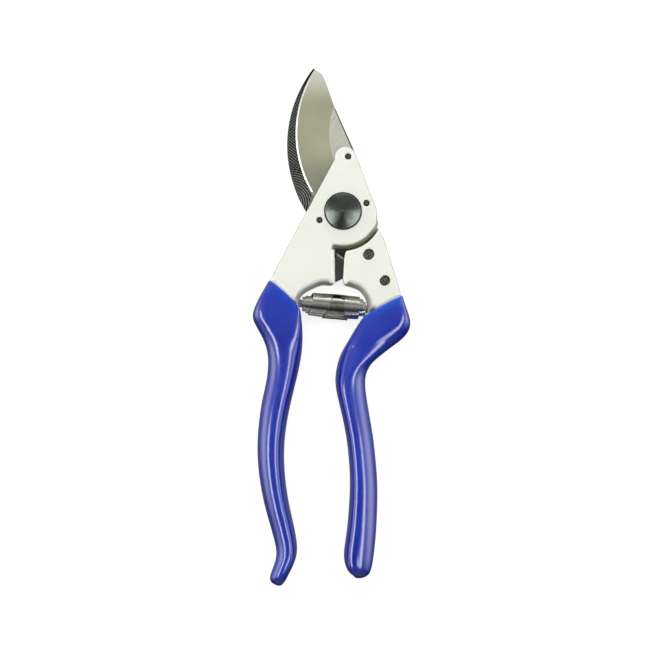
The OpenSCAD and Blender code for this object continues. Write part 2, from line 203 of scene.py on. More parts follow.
def signed(points, segments):
    """Distance from each point to the outline, negative inside."""
    a, b = segments[:, 0], segments[:, 1]
    ab = b - a
    keep = (ab ** 2).sum(1) > 1e-12
    a, b, ab = a[keep], b[keep], ab[keep]
    length = (ab ** 2).sum(1)
    out = np.empty(len(points))
    for start in range(0, len(points), POINTS_AT_ONCE):
        p = points[start:start + POINTS_AT_ONCE]
        rel_x, rel_y = p[:, :1] - a[:, 0], p[:, 1:] - a[:, 1]
        t = np.clip((rel_x * ab[:, 0] + rel_y * ab[:, 1]) / length, 0, 1)
        d = np.sqrt(((rel_x - t * ab[:, 0]) ** 2 + (rel_y - t * ab[:, 1]) ** 2).min(1))
        spans = (a[:, 1] > p[:, 1:]) != (b[:, 1] > p[:, 1:])
        slope = ab[:, 0] / np.where(ab[:, 1] == 0, 1, ab[:, 1])
        left = rel_x < rel_y * slope
        inside = (spans & left).sum(1) % 2 == 1
        out[start:start + len(p)] = np.where(inside, -d, d)
    return out


# ------------ solids as distance fields

def slab(flat, z, low, high, rounding, inset=0.0):
    """Distance to an outline extruded from low to high, with rounded rims and moved-in walls."""
    out = flat + inset + rounding
    up = np.abs(z - (low + high) / 2) - (high - low) / 2 + rounding
    beyond = np.hypot(np.maximum(out, 0), np.maximum(up, 0))
    return np.minimum(np.maximum(out, up), 0) + beyond - rounding


def soft_max(a, b, k):
    """The larger of two values, rounded over where they are within k of each other."""
    h = np.clip(0.5 + 0.5 * (a - b) / k, 0, 1)
    return b + (a - b) * h + k * h * (1 - h)


def soft_min(a, b, k):
    return -soft_max(-a, -b, k)


def net(plan, solid, low, high, step):
    """Quads on the zero level of a solid. plan(xy) gives arrays that solid(arrays, z) uses."""
    low, high = np.array(low, float), np.array(high, float)
    axes = [np.arange(low[i], high[i] + step, step) for i in range(3)]
    nx, ny, nz = (len(a) for a in axes)
    layers, blended = chart(plan, low, nx, ny, step)
    columns = [a[::2, ::2, None] for a in layers]
    value = solid(columns, axes[2].reshape(1, 1, nz))
    value = np.where(value == 0, 1e-9, value)
    inside = value < 0
    corner = [(i, j, k) for i in (0, 1) for j in (0, 1) for k in (0, 1)]
    total = sum(inside[i:nx - 1 + i, j:ny - 1 + j, k:nz - 1 + k].astype(np.int8)
                for i, j, k in corner)
    cells = np.argwhere((total > 0) & (total < 8))
    index = np.full(total.shape, -1, np.int64)
    index[tuple(cells.T)] = np.arange(len(cells))
    spot, hits = np.zeros((len(cells), 3)), np.zeros(len(cells))
    for a in corner:
        for axis in range(3):
            if a[axis]:
                continue
            b = tuple(a[k] + (k == axis) for k in range(3))
            va = value[tuple((cells + a).T)]
            vb = value[tuple((cells + b).T)]
            crosses = (va < 0) != (vb < 0)
            t = np.where(crosses, va / np.where(crosses, va - vb, 1), 0)
            spot += np.where(crosses[:, None], np.array(a) + t[:, None] * np.eye(3)[axis], 0)
            hits += crosses
    points = low + step * (cells + spot / hits[:, None])
    faces = []
    for axis in range(3):
        u, v = (axis + 1) % 3, (axis + 2) % 3
        first = np.take(inside, range(inside.shape[axis] - 1), axis)
        second = np.take(inside, range(1, inside.shape[axis]), axis)
        at = np.argwhere(first != second)
        limit = np.array(total.shape)
        at = at[(at[:, u] > 0) & (at[:, v] > 0) & (at[:, u] < limit[u]) & (at[:, v] < limit[v])]
        eu, ev = np.eye(3, dtype=int)[u], np.eye(3, dtype=int)[v]
        quad = [index[tuple((at - s * eu - t * ev).T)] for s, t in ((1, 1), (0, 1), (0, 0), (1, 0))]
        quad = np.stack(quad, 1)
        outward = first[tuple(at.T)]
        faces += np.where(outward[:, None], quad, quad[:, ::-1]).tolist()
    return settle(points, blended, solid, step), faces


def chart(plan, low, nx, ny, step):
    """The plan's arrays on a grid of half the step, and a function that reads between points."""
    fine = step / 2
    shape = np.array([2 * nx - 1, 2 * ny - 1])
    spots = [low[i] + fine * np.arange(shape[i]) for i in range(2)]
    flat = np.stack(np.meshgrid(*spots, indexing="ij"), -1).reshape(-1, 2)
    layers = [a.reshape(shape) for a in plan(flat)]

    def at(flat):
        place = np.clip((flat - low[:2]) / fine, 0, shape - 1.001)
        i, j = place.astype(int).T
        u, v = (place - np.floor(place)).T
        return [a[i, j] * (1 - u) * (1 - v) + a[i + 1, j] * u * (1 - v)
                + a[i, j + 1] * (1 - u) * v + a[i + 1, j + 1] * u * v for a in layers]

    return layers, at


SETTLE_ROUNDS = 3
SETTLE_PROBE = 0.05
LEAST_SLOPE = 0.25
LARGEST_MOVE = 0.6


def settle(points, plan, solid, step):
    """Moves the points onto the solid's true surface."""
    e = SETTLE_PROBE
    for _ in range(SETTLE_ROUNDS):
        here = plan(points[:, :2])
        z = points[:, 2]
        value = solid(here, z)
        slope = np.stack([
            solid(plan(points[:, :2] + [e, 0]), z) - value,
            solid(plan(points[:, :2] + [0, e]), z) - value,
            solid(here, z + e) - value], 1) / e
        size = np.maximum((slope ** 2).sum(1), LEAST_SLOPE)
        move = -(value / size)[:, None] * slope
        far = np.maximum(np.linalg.norm(move, axis=1) / (LARGEST_MOVE * step), 1)
        points = points + move / far[:, None]
    return points


# ------------ node materials

class Nodes:
    """Short calls for building the node tree of a material or a world."""

    def __init__(self, owner):
        owner.use_nodes = True
        self.owner, self.tree = owner, owner.node_tree

    def put(self, socket, value):
        """Links a socket to another or sets its value, where a colour is three numbers."""
        if isinstance(value, bpy.types.NodeSocket):
            self.tree.links.new(value, socket)
        else:
            socket.default_value = (*value, 1.0) if socket.type == "RGBA" else value

    def new(self, kind, inputs=(), **settings):
        node = self.tree.nodes.new(kind)
        for key, value in settings.items():
            setattr(node, key, value)
        for key, value in dict(inputs).items():
            self.put(node.inputs[key], value)
        return node

    def scaled(self, scale=(1, 1, 1), turn=0):
        """Object coordinates in mm, turned about Z by an angle in degrees and then stretched."""
        place = self.new("ShaderNodeTexCoord").outputs["Object"]
        for rotation, size in ((math.radians(turn), [1 / MM] * 3), (0, scale)):
            place = self.new("ShaderNodeMapping", {
                "Vector": place, "Rotation": (0, 0, rotation), "Scale": size}).outputs[0]
        return place

    def noise(self, scale, detail=3, rough=0.5, stretch=(1, 1, 1), turn=0):
        return self.new("ShaderNodeTexNoise", {
            "Vector": self.scaled(stretch, turn), "Scale": scale, "Detail": detail,
            "Roughness": rough}).outputs["Fac"]

    def value(self, name):
        return self.new("ShaderNodeAttribute", attribute_name=name).outputs["Fac"]

    def math(self, operation, a, b=0.0):
        return self.new("ShaderNodeMath", {0: a, 1: b}, operation=operation).outputs[0]

    def remap(self, x, low, high, to_low, to_high):
        return self.new("ShaderNodeMapRange", {
            "Value": x, "From Min": low, "From Max": high, "To Min": to_low,
            "To Max": to_high}).outputs["Result"]

    def spread(self, noise, low, high):
        """From low to high over the range that a noise mostly keeps to."""
        return self.remap(noise, 0.3, 0.7, low, high)

    def mix(self, amount, a, b):
        """Two colours mixed; inputs 6 and 7 and output 2 are the node's colour sockets."""
        return self.new("ShaderNodeMix", {0: amount, 6: a, 7: b}, data_type="RGBA").outputs[2]

    def between(self, noise, a, b):
        """Two colours blended by a noise."""
        return self.mix(self.spread(noise, 0, 1), a, b)

    def bump(self, height, strength, distance_mm, over=()):
        return self.new("ShaderNodeBump", {
            "Height": height, "Strength": strength, "Distance": distance_mm * MM,
            **dict(over)}).outputs[0]

    def finish(self, colour, rough, normal=None, **sockets):
        """Connects the shader and gives back the material."""
        sockets.update(Base_Color=colour, Roughness=rough)
        if normal is not None:
            sockets["Normal"] = normal
        for key, value in sockets.items():
            self.put(self.tree.nodes["Principled BSDF"].inputs[key.replace("_", " ")], value)
        return self.owner


def new_material(name):
    return Nodes(bpy.data.materials.new(name))


def painted_casting():
    """Cream paint with an orange-peel skin and faint specks, with painted shade low down on the
    walls along the arc and arch and on the rims.
    """
    n = new_material("cream_paint")
    cloud, peel, fleck = n.noise(0.09, 4), n.noise(2.6, 2), n.noise(7.0, 1)
    tone = n.between(cloud, (0.79, 0.805, 0.715), (0.825, 0.838, 0.755))
    specked = n.mix(n.remap(fleck, 0.66, 0.72, 0, 0.12), tone, (0.62, 0.62, 0.55))
    # Painted shade: a dark olive on the walls along the front arc and, fainter, the arch, a little
    # mottled.
    wall_shade = n.math("MULTIPLY", n.value("painted_shade"), n.remap(cloud, 0.2, 0.8, 0.7, 1.0))
    with_painted_light = n.mix(wall_shade, specked, (0.30, 0.31, 0.20))
    facing = n.new("ShaderNodeNewGeometry").outputs["Normal"]
    upright = n.new("ShaderNodeSeparateXYZ", {0: facing}).outputs["Z"]
    # Painted shade: rims that tilt away from the top are darkened.
    rim = n.math("MULTIPLY", n.value("rim"), n.remap(upright, 0.5, 0.98, 0.9, 0))
    colour = n.mix(rim, with_painted_light, (0.11, 0.112, 0.10))
    height = n.bump(fleck, 0.12, 0.02, {"Normal": n.bump(peel, 0.25, 0.05)})
    return n.finish(colour, n.spread(peel, 0.32, 0.44), height, Metallic=0.0,
                    Coat_Weight=0.15, Coat_Roughness=0.25, Specular_IOR_Level=0.45)


def blue_pvc():
    """Glossy blue plastic, lighter where the coat is thin."""
    n = new_material("blue_dip")
    cloud, grain = n.noise(0.06), n.noise(5.0, 2)
    wave = n.noise(0.12, 1, stretch=(1, 0.25, 1))
    deep = n.between(cloud, (0.002, 0.017, 0.32), (0.004, 0.026, 0.39))
    colour = n.mix(n.value("thin"), deep, (0.010, 0.075, 0.56))
    height = n.bump(grain, 0.06, 0.02, {"Normal": n.bump(wave, 0.2, 0.2)})
    return n.finish(colour, n.spread(cloud, 0.20, 0.26), height, IOR=1.5,
                    Coat_Weight=0.7, Coat_Roughness=0.2)


def ground_blade():
    """Steel ground across on the bevel and lengthwise on the flat, with a painted highlight on the
    fine edge and painted shade near the plate and on part of the spine.
    """
    n = new_material("ground_blade_steel")
    grind = n.noise(0.55, 4, 0.6, (1.0, 9.0, 1.0), 8)
    long_line = n.noise(1.4, 3, 0.7, (0.12, 2.6, 1.0), -52)
    bevel = n.between(n.noise(0.07), (0.31, 0.312, 0.205), (0.345, 0.346, 0.235))
    # Painted shade: the bevel darker low down, next to the front plate.
    bevel = n.mix(n.value("root"), bevel, (0.235, 0.24, 0.175))
    bevel = n.mix(n.value("tip"), bevel, (0.585, 0.59, 0.50))
    flat = n.between(long_line, (0.43, 0.44, 0.38), (0.65, 0.66, 0.565))
    colour = n.mix(n.value("flat"), bevel, flat)
    # Painted highlight along the fine edge.
    bright = n.mix(n.value("edge"), colour, (0.97, 0.97, 0.93))
    # Painted shade on a stretch of the spine's chamfer.
    dark = n.mix(n.value("spine"), bright, (0.05, 0.05, 0.04))
    scratched = n.bump(long_line, 0.12, 0.03, {"Normal": n.bump(grind, 0.1, 0.03)})
    return n.finish(dark, n.spread(grind, 0.44, 0.54), scratched, Metallic=0.55)


def black_oxide():
    """Black, with a painted highlight on the crests of the hook's ridges."""
    n = new_material("hook_black_oxide")
    cloud = n.noise(0.5, 4)
    tone = n.mix(n.remap(cloud, 0.35, 0.65, 0, 1), (0.012, 0.014, 0.013), (0.018, 0.021, 0.0195))
    # Painted highlight on the ridges' crests.
    with_painted_light = n.mix(n.value("ridge"), tone, (0.34, 0.35, 0.31))
    height = n.bump(n.noise(6.0, 2), 0.15, 0.03)
    return n.finish(with_painted_light, n.spread(cloud, 0.38, 0.5), height, Metallic=0.7)


def turned_dome():
    """Blackened steel with fine rings that deepen towards a centre mark."""
    n = new_material("turned_dome")
    cloud = n.noise(0.35, 4)
    away = n.new("ShaderNodeVectorMath", {0: n.scaled((1, 1, 0))}, operation="LENGTH")
    away = away.outputs["Value"]
    wander = n.math("MULTIPLY", n.noise(0.25, 2), 1.2)
    ring = n.math("SINE", n.math("MULTIPLY", n.math("ADD", away, wander), 7.5))
    ring = n.math("MULTIPLY", ring, n.remap(away, 0.6, 4.0, 3.2, 1.0))
    ring = n.math("ADD", ring, n.remap(away, 0.1, 0.7, -9.0, 0.0))
    uneven = n.math("ADD", ring, n.math("MULTIPLY", n.noise(1.2), 0.5))
    tone = n.between(cloud, (0.115, 0.135, 0.115), (0.155, 0.17, 0.15))
    around = n.new("ShaderNodeTangent", direction_type="RADIAL", axis="Z").outputs["Tangent"]
    return n.finish(tone, n.spread(cloud, 0.30, 0.37), n.bump(uneven, 0.12, 0.02), Metallic=1.0,
                    Anisotropic=0.6, Anisotropic_Rotation=0.25, Tangent=around)


def spring_metal():
    """Polished strip steel, with painted shade on its wide middle winding."""
    n = new_material("polished_strip")
    cloud = n.noise(0.8, 4, stretch=(0.5, 1.6, 1.6))
    grain = n.noise(3.5, stretch=(0.3, 3, 3))
    bright = n.between(cloud, (0.72, 0.71, 0.63), (0.97, 0.96, 0.87))
    # A darker copy of the same steel: painted shade for the middle winding.
    strip_shade = n.between(cloud, (0.36, 0.355, 0.30), (0.66, 0.65, 0.56))
    tone = n.mix(n.value("middle"), bright, strip_shade)
    return n.finish(tone, n.spread(grain, 0.11, 0.19), n.bump(grain, 0.08, 0.02), Metallic=1.0)


def plain_metal(name, low, high, rough_low, rough_high, cloud_scale=0.4):
    """Bare or plated metal between two colours and two roughnesses."""
    n = new_material(name)
    grain = n.noise(3.5)
    tone = n.between(n.noise(cloud_scale, 4), low, high)
    height = n.bump(grain, 0.12, 0.02)
    return n.finish(tone, n.spread(grain, rough_low, rough_high), height, Metallic=1.0)


def soft_black(name, base, rough_low, rough_high, scale):
    """Rubber or plastic with a grain of this scale."""
    n = new_material(name)
    grain = n.noise(scale)
    tone = n.between(n.noise(0.4), base, [c * 1.8 for c in base])
    return n.finish(tone, n.spread(grain, rough_low, rough_high), n.bump(grain, 0.3, 0.04))


def white_floor():
    """A matt floor that shines as white as the photo's background."""
    n = new_material("white_floor")
    tone = n.between(n.noise(0.003, 2), [0.40] * 3, [0.41] * 3)
    return n.finish(tone, 0.9, Specular_IOR_Level=0.1,
                    Emission_Color=(1, 1, 1), Emission_Strength=0.80)


OILED = ((0.045, 0.046, 0.035), (0.085, 0.086, 0.07), 0.35, 0.5)
ZINC = ((0.50, 0.50, 0.48), (0.62, 0.62, 0.60), 0.28, 0.4)
WORN = ((0.26, 0.265, 0.26), (0.50, 0.505, 0.49), 0.4, 0.55)
PIN_END = ((0.025, 0.025, 0.018), (0.17, 0.17, 0.14), 0.5, 0.65, 1.5)
MATERIALS = {
    "painted_casting": painted_casting(),
    "blue_pvc": blue_pvc(),
    "ground_steel": ground_blade(),
    "black_oxide_steel": black_oxide(),
    "dark_steel": plain_metal("oiled_steel", *OILED),
    "zinc_steel": plain_metal("zinc_plate", *ZINC),
    "spring_steel": spring_metal(),
    "black_rubber": soft_black("bumper_rubber", (0.012, 0.012, 0.012), 0.45, 0.6, 4.0),
    "black_plastic": soft_black("catch_plastic", (0.014, 0.014, 0.016), 0.4, 0.55, 6.0),
}
DOME_METAL = turned_dome()
CLIP_METAL = plain_metal("worn_clip", *WORN)
PIN_METAL = plain_metal("pin_end", *PIN_END)


def fit_out(obj, body, slot, *nodes, material=None):
    """Gives a piece its material and its body, and hides the CAD nodes that it stands for."""
    obj.data.materials.clear()
    obj.data.materials.append(material or MATERIALS[slot])
    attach(obj, body)
    if nodes:
        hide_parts(*nodes)


# ------------ castings

# In mm: the spring's centre, the lines to which the grips are dipped, the grid's step, and how
# far and at what height the painted casting runs on under a grip.
SPRING_CENTRE = np.array([-3.7, -38.65])
LEFT_DIP = np.array([[-29.8, -28.3], [-17.5, -40.0]])
RIGHT_DIP = np.array([[23.9, -34.4], [9.4, -42.3]])
CAST_STEP = 0.28
UNDER_COAT = 3.0
UNDER_COAT_Z = Z_MID + 5.2
COAT_MARGIN = 0.9
DIP_OVERLAP = 0.3
# Extra rounding of the rims along the arch, the slots, the front plate's arc and the dip line.
EDGE_ROUNDING = 0.45
ARCH_ROUNDING = 1.1
LEFT_SLOT_ROUNDING = 1.2
RIGHT_SLOT_ROUNDING = 0.4
ARC_ROUNDING = 0.2
DIP_ROUNDING = 1.6
ARCH_DRAFT = 1.9
ARC_DRAFT = 1.75
HALF_DEPTH = (Z_TOP - Z_BACK) / 2
# Strength of the painted shade on the arch's walls, against that on the front arc's walls.
SHADE_ON_ARCH = 0.15
JOIN = 0.3
SLICE_BELOW_TOP = 1.3
BUSH_HOLE_R = 5.3
PIN_GAP = 0.1
PIN_HOLE_ROUNDING = 0.12
PLATE_OVERLAP = 6
FACE_GAP = 0.02
HUB_ENDS_Y = -4
DEEP_INSIDE = -9


def handwards(run):
    """The unit normal of a direction in plan, on the side towards the handles' ends."""
    normal = np.array([-run[1], run[0]]) / np.linalg.norm(run)
    return -normal if normal[1] > 0 else normal


def past(points, line):
    """How far points lie beyond a line, on the side towards the handles' ends."""
    return (points - line[0]) @ handwards(line[1] - line[0])


def near_dip(flat, dip):
    """1 at the dip line, where the casting is rounded off to run under the coat."""
    return smoothstep(-5.0, -0.5, past(flat, dip))


def near_arch(flat):
    """1 along the arch over the spring, 0 away from it."""
    away = np.linalg.norm(flat - SPRING_CENTRE, axis=1)
    return band(away, 15.0, 18.0) * band(flat[:, 1], -28.0, -25.0)


def near_slot(flat):
    """1 round the slot between the two handles, 0 away from it."""
    return band(np.abs(flat[:, 0] + 1.0), 6.0, 8.0) * band(flat[:, 1], -13.0, -10.0)


def near_front_arc(flat):
    """1 along the lower arc of the blade side's front plate, 0 away from it."""
    x, y = flat.T
    away = np.abs(np.hypot(x, y) - FRONT_ARC_R)
    return band(away, 2.5, 4.5) * band(y, -9.0, -0.5) * smoothstep(-8, -4, x)


def casting(name, node, body, dip, pins, filled, fields, shape):
    """A painted casting: its outlines come from the CAD node, with cast roundings added."""
    holes = [(np.array(c), r) for c, r in pins]
    covered = holes + [(np.zeros(2), BUSH_HOLE_R)] + filled
    upper = without(section(node, Z_TOP - SLICE_BELOW_TOP), covered)
    lower = without(section(node, Z_BACK + 1), covered)
    coat = section(node.replace("frame", "grip"), UNDER_COAT_Z)

    def plan(flat):
        beyond = past(flat, dip)
        core = signed(flat, coat) - COAT_MARGIN
        core = np.maximum.reduce([core, beyond - UNDER_COAT, -beyond - DIP_OVERLAP])
        high, low = signed(flat, upper), signed(flat, lower)
        return [*flat.T, np.minimum(high, core), np.minimum(low, core), *fields(flat)]

    def solid(columns, z):
        value = shape(columns, z)
        for centre, radius in holes:
            away = np.hypot(columns[0] - centre[0], columns[1] - centre[1])
            value = soft_max(value, radius + PIN_GAP - away, PIN_HOLE_ROUNDING)
        return value

    low, high = box_mm(node)
    floor_y = min(dip[0][1], dip[1][1]) - UNDER_COAT - 1
    points, faces = net(plan, solid, [low[0] - 1, floor_y, low[2] - 1], high + 1, CAST_STEP)
    obj = make_mesh(name, points, faces)
    flat, below = points[:, :2], Z_TOP - points[:, 2]
    gap, arch = near_front_arc(flat), near_arch(flat)
    # Painted shade below the top, on the walls along the front arc and, fainter, the arch.
    add_value(obj, "painted_shade", smoothstep(0.3, 1.5, below) * np.maximum(gap, SHADE_ON_ARCH * arch))
    inward = np.maximum.reduce([gap, arch, near_slot(flat), near_dip(flat, dip)])
    # Painted shade on rims just below the top, except along the arc, arch, slots and dip line.
    add_value(obj, "rim", (1 - inward) * band(below, 0.5, 0.9))
    fit_out(obj, body, "painted_casting", node)


def blade_side_fields(flat):
    """The edge rounding, the arch's draft and the front arc's draft at each point."""
    x, y = flat.T
    arch, arc = near_arch(flat) * band(x, -6.0, -3.4), near_front_arc(flat)
    slot = band(np.abs(x + 3.2), 2.2, 4.0) * band(y, -17.0, -15.0) * smoothstep(-31.0, -28.0, y)
    grown = np.maximum.reduce([ARCH_ROUNDING * arch, LEFT_SLOT_ROUNDING * slot, ARC_ROUNDING * arc,
                               DIP_ROUNDING * near_dip(flat, LEFT_DIP)])
    return [EDGE_ROUNDING + grown, ARCH_DRAFT * arch, ARC_DRAFT * arc]


def blade_side_shape(columns, z):
    """The front plate over the blade and the full-depth arm beside it."""
    _, _, high, low, rounding, arch, arc = columns
    from_middle = np.clip(np.abs(z - Z_MID) / HALF_DEPTH, 0, 1)
    up_plate = np.clip((z - BLADE_HIGH) / (Z_TOP - BLADE_HIGH), 0, 1)
    draft = arch * from_middle + arc * up_plate
    plate = slab(high, z, BLADE_HIGH - PLATE_OVERLAP, Z_TOP, rounding, draft)
    plate = soft_max(plate, BLADE_HIGH + FACE_GAP - z, 0.2)
    arm = slab(low, z, Z_BACK, Z_TOP, rounding, arch * from_middle)
    return np.minimum(plate, arm)


def hook_side_fields(flat):
    """The edge rounding and the arch's draft at each point."""
    x, y = flat.T
    arch = near_arch(flat) * smoothstep(0.3, 2.6, x)
    slot = band(np.abs(x), 1.5, 3.0) * band(y, -17.0, -15.0)
    grown = np.maximum.reduce([ARCH_ROUNDING * arch, RIGHT_SLOT_ROUNDING * slot,
                               DIP_ROUNDING * near_dip(flat, RIGHT_DIP)])
    return [EDGE_ROUNDING + grown, ARCH_DRAFT * arch]


def hook_side_shape(columns, z):
    """The full-depth arm and the back plate under the hook."""
    x, y, high, low, rounding, arch = columns
    from_middle = np.clip(np.abs(z - Z_MID) / HALF_DEPTH, 0, 1)
    arm = slab(high, z, Z_BACK, Z_TOP, rounding, arch * from_middle)
    low = np.maximum(low, np.where(y > HUB_ENDS_Y, np.hypot(x, y) - HIDDEN_HUB_R, DEEP_INSIDE))
    plate = slab(low, z, Z_BACK, HOOK_LOW - FACE_GAP, EDGE_ROUNDING)
    return soft_min(plate, arm, JOIN)


def castings():
    """Both castings, with open holes for the pins and rivets and closed ones for hidden screws."""
    blade_pins = circles("blade_pins", Z_TOP - 1)
    rivets = circles("hook_rivets", Z_TOP - 1)
    screw_holes = circles("catch_pin", Z_BACK + 1) + circles("lock_plate_screw", Z_BACK + 1)
    casting("casting_left", "blade_handle_frame", "blade_side", LEFT_DIP, blade_pins,
            circles("catch_screw", Z_BACK + 1), blade_side_fields, blade_side_shape)
    casting("casting_right", "hook_handle_frame", "hook_side", RIGHT_DIP, rivets,
            screw_holes, hook_side_fields, hook_side_shape)


# ------------ dipped grips

# Outer x, outer y, inner x, inner y, half depth at each station, as in the CAD.
LEFT_GRIP = [
    [-29.8, -28.3, -17.5, -40, 7.3], [-33.3, -33.6, -16.7, -44.5, 7.7],
    [-36.1, -39.5, -16.4, -49, 8.1], [-36.7, -43.5, -16.4, -53, 8.3],
    [-34.6, -48, -16.7, -57, 8.4], [-31.9, -53.1, -17.3, -61, 8.5],
    [-30.4, -59.5, -18.4, -66.5, 8.8], [-30.9, -68, -20, -73, 9.2],
    [-33.3, -79, -22.2, -82.5, 9.6], [-34.8, -93, -23.8, -94, 9.8],
    [-34.3, -106, -23.7, -106, 9.8], [-32, -119, -22, -118.5, 9.6],
    [-28.9, -130, -19.4, -130, 9], [-26.9, -138.5, -18.5, -138, 8.4],
    [-28.1, -143.8, -20, -143.5, 7.8], [-29.7, -148.3, -22.2, -148, 6.8],
    [-29.2, -150.8, -23.4, -150.2, 5], [-27.3, -151.9, -24.6, -151.6, 2.2]]
RIGHT_GRIP = [
    [23.9, -34.4, 9.4, -42.3, 7.3], [25.7, -38.9, 6.7, -45.2, 7.7],
    [27.3, -43.8, 4.5, -48.6, 8.1], [27.2, -47.6, 2.3, -52.3, 8.3],
    [24.8, -51.3, 0, -56.2, 8.4], [20.2, -54.9, -1.8, -60.4, 8.5],
    [15, -58.9, -2.8, -65, 8.7], [10.8, -63, -3.1, -69, 8.9],
    [8.9, -69, -2.6, -73.6, 9.2], [10.2, -79.5, -0.6, -82, 9.6],
    [12.2, -91, 1.5, -92.5, 9.8], [13.5, -103, 2.6, -103.5, 9.8],
    [14.1, -114, 2.8, -114, 9.8], [13.6, -129, 1.7, -129, 9.2],
    [12.6, -139.5, 0.2, -139.5, 8.4], [11.6, -145.3, 1.4, -145, 7.2],
    [10.4, -147.8, 3, -147.2, 5.2], [8.4, -148.9, 5, -148.6, 2.2]]
GRIP_STEPS = 9
GRIP_QUARTER = 16
GRIP_FLAT = 10
GRIP_SMOOTHINGS = 14
GRIP_SMOOTH_ANGLE = 60
COAT_LIP = 0.3
# Growth and slide of the rings that round the coat's start, and shrinkage and push of those that
# close its tip.
LIP_RINGS = ((-0.9, 0.25), (-0.3, 0.02), (0.0, -0.03), (0.15, -0.02), (0.25, 0.06), (0.3, 0.2))
TIP_RINGS = ((0.75, 0.25), (0.45, 0.4), (0.2, 0.47))
# The section is boxy at the coat's start and round from this share of the grip's length on.
ROUND_FROM = 0.27
BOXY_SIDE, ROUND_SIDE = 3.0, 13.0
BOXY_POWER, ROUND_POWER = 4.75, 2.15
BEND_AT, BEND_SPREAD, BEND_CROWN = 0.2, 0.09, 2.0


def evened(rows, times):
    """Smooths a curve, keeping its two ends."""
    for _ in range(times):
        rows[1:-1] = (rows[:-2] + 2 * rows[1:-1] + rows[2:]) / 4
    return rows


def grip_ring(row, shape, grow, slide, bulge):
    """One ring: rounded within a width of each side, its crown shifted towards the inner side."""
    side_width, power, crown = shape
    quarter = np.linspace(0, math.pi / 2, GRIP_QUARTER + 1)
    outer, inner = row[:2], row[2:4]
    middle, half = (outer + inner) / 2, (outer - inner) / 2
    width = np.linalg.norm(half)
    rounded = min(side_width, width)
    across = width + grow - rounded * (1 - np.cos(quarter) ** (2 / power))
    up = (row[4] + grow) * np.sin(quarter) ** (2 / power)
    flat = np.linspace(across[-1], -across[-1], GRIP_FLAT + 1)[1:-1]
    upper_across = np.concatenate([across, flat, -across[::-1]])
    upper_up = np.concatenate([up, np.full(len(flat), up[-1]), up[::-1]])
    across = np.concatenate([upper_across, -upper_across[1:-1]])
    up = np.concatenate([upper_up, -upper_up[1:-1]])
    arched = 1 - np.clip(across / width, -1, 1) ** 2
    across = across - crown * arched
    down = handwards(half) * (slide - bulge * arched)[:, None]
    plan = middle + across[:, None] * half / width + down
    return np.column_stack([plan, Z_MID + up])


def grip(name, node, body, stations, bulge, azure, crown):
    """A dipped coat: bulging and azure where it is thin at its start, its top shifted by crown."""
    rows = evened(along(stations, GRIP_STEPS), GRIP_SMOOTHINGS)
    share = np.linspace(0, 1, len(rows))
    near = band(share, 0.0, ROUND_FROM)
    side_width = ROUND_SIDE + (BOXY_SIDE - ROUND_SIDE) * near
    power = ROUND_POWER + (BOXY_POWER - ROUND_POWER) * near
    fade = band(share, 0.0, 0.06)
    at_bend = np.exp(-((share - BEND_AT) / BEND_SPREAD) ** 2)
    crowns = crown * (smoothstep(0.06, 0.3, share) + BEND_CROWN * at_bend)
    shapes = list(zip(side_width, power, crowns))
    rings = [grip_ring(rows[0], shapes[0], grow, slide, bulge) for grow, slide in LIP_RINGS]
    thin = [azure] * len(LIP_RINGS)
    for i in range(1, len(rows)):
        rings.append(grip_ring(rows[i], shapes[i], COAT_LIP * fade[i], 0, bulge * fade[i]))
        thin.append(azure * band(share[i], 0.0, 0.07))
    tip = rings[-1]
    centre = tip.mean(0)
    end = np.array([*(rows[-1][:2] - rows[-1][2:4])[::-1] * [1, -1], 0])
    end = end / np.linalg.norm(end) * (-1 if end[1] > 0 else 1)
    for shrink, push in TIP_RINGS:
        rings.append(centre + (tip - centre) * shrink + end * push)
        thin.append(0)
    count = len(tip)
    faces = ring_faces(len(rings), count)
    last = (len(rings) - 1) * count
    faces.append(list(range(last, last + count)))
    faces.append(list(range(count))[::-1])
    if stations[0][0] < stations[0][2]:
        faces = [f[::-1] for f in faces]
    obj = make_mesh(name, np.concatenate(rings), faces, GRIP_SMOOTH_ANGLE)
    add_value(obj, "thin", np.repeat(thin, count))
    fit_out(obj, body, "blue_pvc", node)


# ------------ blades

# In mm: the width and drop of the fine edge, the steel left at its start and the hollow of the
# bevel. Angles are seen from the edge's centre.
MICRO = 0.6
MICRO_DROP = 0.22
LAND = 0.95
HOLLOW = 0.07
TIP_ANGLE = 146.95
NOTCH_ANGLE = 210.2
HEEL_ANGLE = 246
PARALLEL = 1e-9
LEAST_WIDTH = 0.02
SPINE = [[4.6, 24.4], [-1.2, 37.4], [-3.9, 43.6], [-6.6, 51.4], [-8.1, 54.8], [-9.6, 56.9],
         [-11.2, 57.7]]
PLATE_EDGE = np.array([[-29.8, -28.3], [-3.4, 21.0]])


def ray_hits(direction, path):
    """Distances from the edge's centre at which a ray in that direction crosses the path."""
    ab, rel = np.diff(path, axis=0), path[:-1] - EDGE_CENTRE
    cross = direction[0] * ab[:, 1] - direction[1] * ab[:, 0]
    cross = np.where(np.abs(cross) < PARALLEL, np.nan, cross)
    t = (rel[:, 0] * ab[:, 1] - rel[:, 1] * ab[:, 0]) / cross
    u = (rel[:, 0] * direction[1] - rel[:, 1] * direction[0]) / cross
    return np.sort(t[(u >= -PARALLEL) & (u <= 1 + PARALLEL) & (t > 0)])


